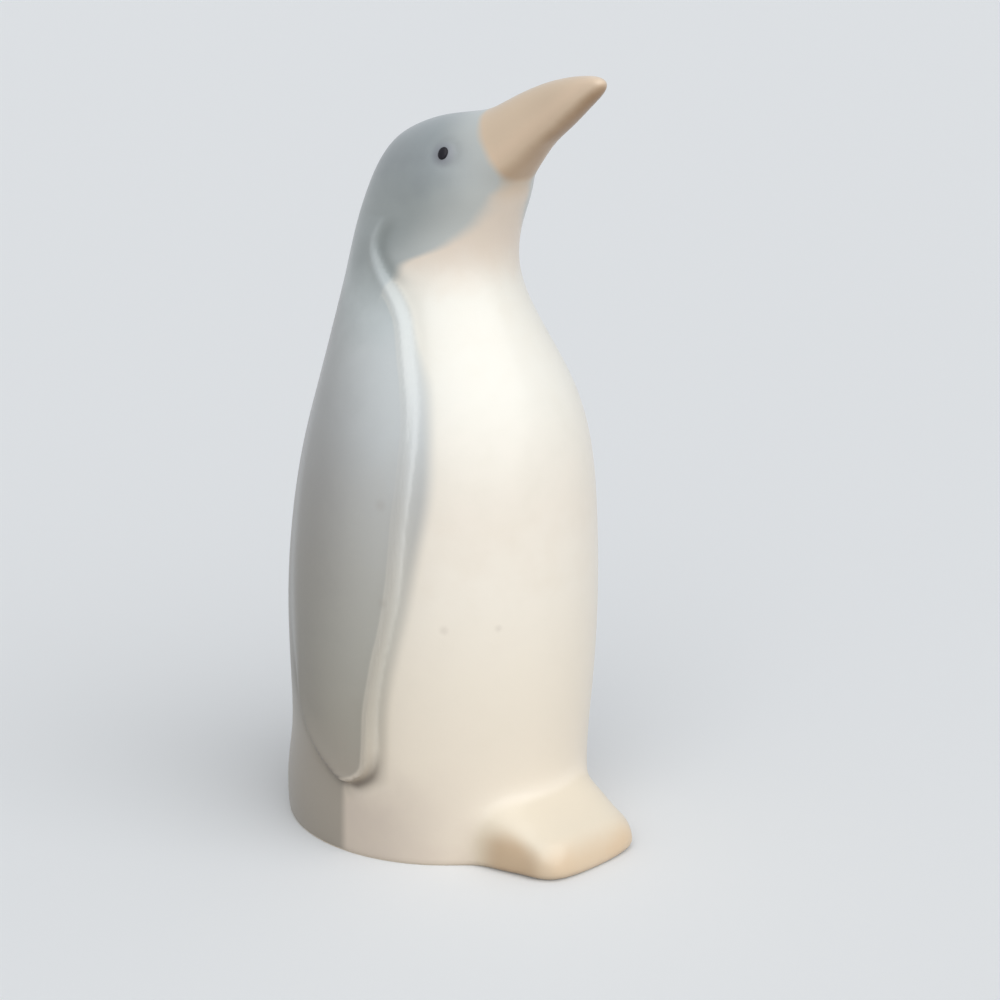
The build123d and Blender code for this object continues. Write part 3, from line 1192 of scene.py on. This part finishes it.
def paint_spots(bird):
    """A soft darker violet ring round each eye, partly tint and partly painted shade, and a few specks."""
    # Darker violet ring round the eye's rim: partly tint, partly painted shade
    bird.coat(violet_eye_shade, halo_cover * distance_from_eyes(bird.x, bird.y, bird.z).bell(*halo_band))
    for place, reach in specks:
        away = bird.vector("DISTANCE", bird.place, place, out="Value") + bird.grain * 0.4
        bird.coat(speck_brown, speck_cover * (1 - away.smooth_step(0, reach)))


def airbrushed_porcelain():
    """White porcelain, airbrushed in soft greys, tan and cream, under one satin glaze, with painted shade in
    its creases and grooves and painted highlights on the wings' hooks.
    """
    bird = Porcelain()
    for coat in (paint_whites, paint_feet, paint_beak, paint_greys, paint_crease_shades, paint_spots):
        coat(bird)
    foot_ring = 1 - bird.z.smooth_step(*ring_heights)
    bird.coat(unglazed, foot_ring)
    relief = 0.6 * bird.noise(scale=0.9) + 0.25 * bird.noise(scale=3.2, detail=1.0)
    return bird.finish(
        Base_Color=bird.colour,
        Roughness=0.36 + bird.grain * 0.06 + bird.drift * 0.05 + foot_ring * 0.4,
        Normal=bird.bump(relief, depth=0.035, strength=0.6),
        Coat_Weight=0.3,
        Coat_Roughness=0.16,
        IOR=1.5,
    )


def bare_bisque():
    """Unglazed clay under the figure: matt, with a fine open grain."""
    shade = Shade("bare_bisque")
    grain = shade.noise(scale=2.4, detail=6.0, roughness=0.7)
    patches = shade.noise(scale=0.12, detail=3.0)
    colour = shade.over(unglazed, bisque_patch, patches.smooth_step(0.4, 0.75))
    colour = shade.over(colour, bisque_grain, 0.5 * grain.smooth_step(0.62, 0.72))
    return shade.finish(
        Base_Color=colour,
        Roughness=0.82 + 0.1 * (grain - 0.5),
        Normal=shade.bump(grain, depth=0.12),
    )


def eye_enamel():
    """Black overglaze enamel, clouded with a trace of violet."""
    shade = Shade("eye_enamel")
    cloud = shade.noise(scale=2.0, detail=3.0)
    return shade.finish(
        Base_Color=shade.over(enamel_black, enamel_violet, cloud.smooth_step(0.45, 0.75)),
        Roughness=0.42 + 0.15 * (cloud - 0.5),
        Normal=shade.bump(cloud, depth=0.01),
        IOR=1.35,
    )


eye_width, eye_height, eye_dome, eye_fullness = 2.1, 2.6, 0.5, 0.8
eye_tilt = radians(10)
eye_rings, eye_turns = 12, 40


def oval_drop(seat, out):
    """Points and faces of a low oval drop of enamel on its seat, a little steeper at its rim."""
    up = (Vector((0, -sin(eye_tilt), cos(eye_tilt))) - out * out.z * cos(eye_tilt)).normalized()
    ahead = up.cross(out).normalized()
    points, faces = [seat + out * eye_dome], []
    for ring in range(1, eye_rings + 1):
        turn = pi * ring / (eye_rings + 1)
        lift, reach = eye_dome * cos(turn), sin(turn) ** eye_fullness
        for step in range(eye_turns):
            around = 2 * pi * step / eye_turns
            aside, above = cos(around) * reach * eye_width / 2, sin(around) * reach * eye_height / 2
            points.append(seat + (ahead * aside + up * above) + out * lift)
    points.append(seat - out * eye_dome)
    last = len(points) - 1
    for step in range(eye_turns):
        after = (step + 1) % eye_turns
        faces.append([0, 1 + step, 1 + after])
        faces.append([last, last - eye_turns + after, last - eye_turns + step])
        for ring in range(eye_rings - 1):
            near, far = 1 + ring * eye_turns, 1 + (ring + 1) * eye_turns
            faces.append([near + step, far + step, far + after, near + after])
    return points, faces


def make_eyes(rows, material):
    """Seats a drop of enamel on each side of the head, where the skin is nearest to the eye's place."""
    for side, name in ((-1, "right_eye"), (1, "left_eye")):
        target = Vector((side * abs(eye_centre.x), eye_centre.y - axis_y, eye_centre.z))
        nearest = rows[np.argmin(np.linalg.norm(rows[:, Columns.place] - np.array(target), axis=1))]
        out = Vector(nearest[Columns.outward])
        seat = target + out * (Vector(nearest[Columns.place]) - target).dot(out)
        mesh = smooth_mesh("enamel_" + name, *oval_drop(seat, out))
        add_piece("enamel_" + name, mesh, name, "eye_enamel", material)


# Light, as shares of what makes a white surface white
sky_share, sun_share = 0.42, 0.64
sun_azimuth, sun_height, sun_spread = radians(23), radians(42), radians(90)
sky_white, room_pale = (0.98, 0.99, 1, 1), paint(220, 224, 228)
floor_radius, floor_sides, floor_roughness = 20, 64, 0.9
floor_colour, floor_unseen = paint(236, 239, 242), paint(176, 168, 158)


def seen_ray(sheet):
    """1 for rays from the camera, and for what gloss shows of the surroundings."""
    ray = sheet.node("ShaderNodeLightPath", None, None, "Is Camera Ray")
    return ray.math("MAXIMUM", ray["Is Glossy Ray"]).math("MAXIMUM", ray["Is Transmission Ray"])


def add_floor():
    """A plain pale floor that runs on behind, and throws back less light than it shows."""
    turns = [2 * pi * side / floor_sides for side in range(floor_sides)]
    ring = [(floor_radius * cos(turn), floor_radius * sin(turn), 0) for turn in turns]
    mesh = bpy.data.meshes.new("floor")
    mesh.from_pydata(ring, [], [list(range(floor_sides))])
    floor = bpy.data.objects.new("floor", mesh)
    bpy.context.scene.collection.objects.link(floor)
    material = bpy.data.materials.new("floor")
    material.use_nodes = True
    sheet = Sheet(material.node_tree)
    shader = material.node_tree.nodes["Principled BSDF"]
    sockets = {0: seen_ray(sheet), 6: floor_unseen, 7: floor_colour}
    sheet.feed(shader.inputs["Base Color"], sheet.node("ShaderNodeMix", {"data_type": "RGBA"}, sockets, 2))
    sheet.feed(shader.inputs["Roughness"], floor_roughness)
    mesh.materials.append(material)


def add_light():
    """Even light from all round, and a broad soft light from ahead and above."""
    world = bpy.data.worlds.new("room")
    bpy.context.scene.world = world
    world.use_nodes = True
    sheet = Sheet(world.node_tree)
    lit = sheet.node("ShaderNodeBackground", None, {"Color": sky_white, "Strength": sky_share})
    seen = sheet.node("ShaderNodeBackground", None, {"Color": room_pale, "Strength": 1.0})
    sky = sheet.node("ShaderNodeMixShader", None, {0: seen_ray(sheet), 1: lit, 2: seen})
    sheet.feed(world.node_tree.nodes["World Output"].inputs["Surface"], sky)
    data = bpy.data.lights.new("window", "SUN")
    data.energy, data.angle = sun_share * pi, sun_spread
    lamp = bpy.data.objects.new("window", data)
    lamp.rotation_euler = (pi / 2 - sun_height, 0, -sun_azimuth)
    bpy.context.scene.collection.objects.link(lamp)


porcelain = airbrushed_porcelain()
skin_rows = make_castings(porcelain)
make_eyes(skin_rows, eye_enamel())
frame["nodes"]["base_disc"].data.materials.clear()
frame["nodes"]["base_disc"].data.materials.append(bare_bisque())
add_floor()
add_light()
bpy.context.scene.view_settings.view_transform = "Standard"
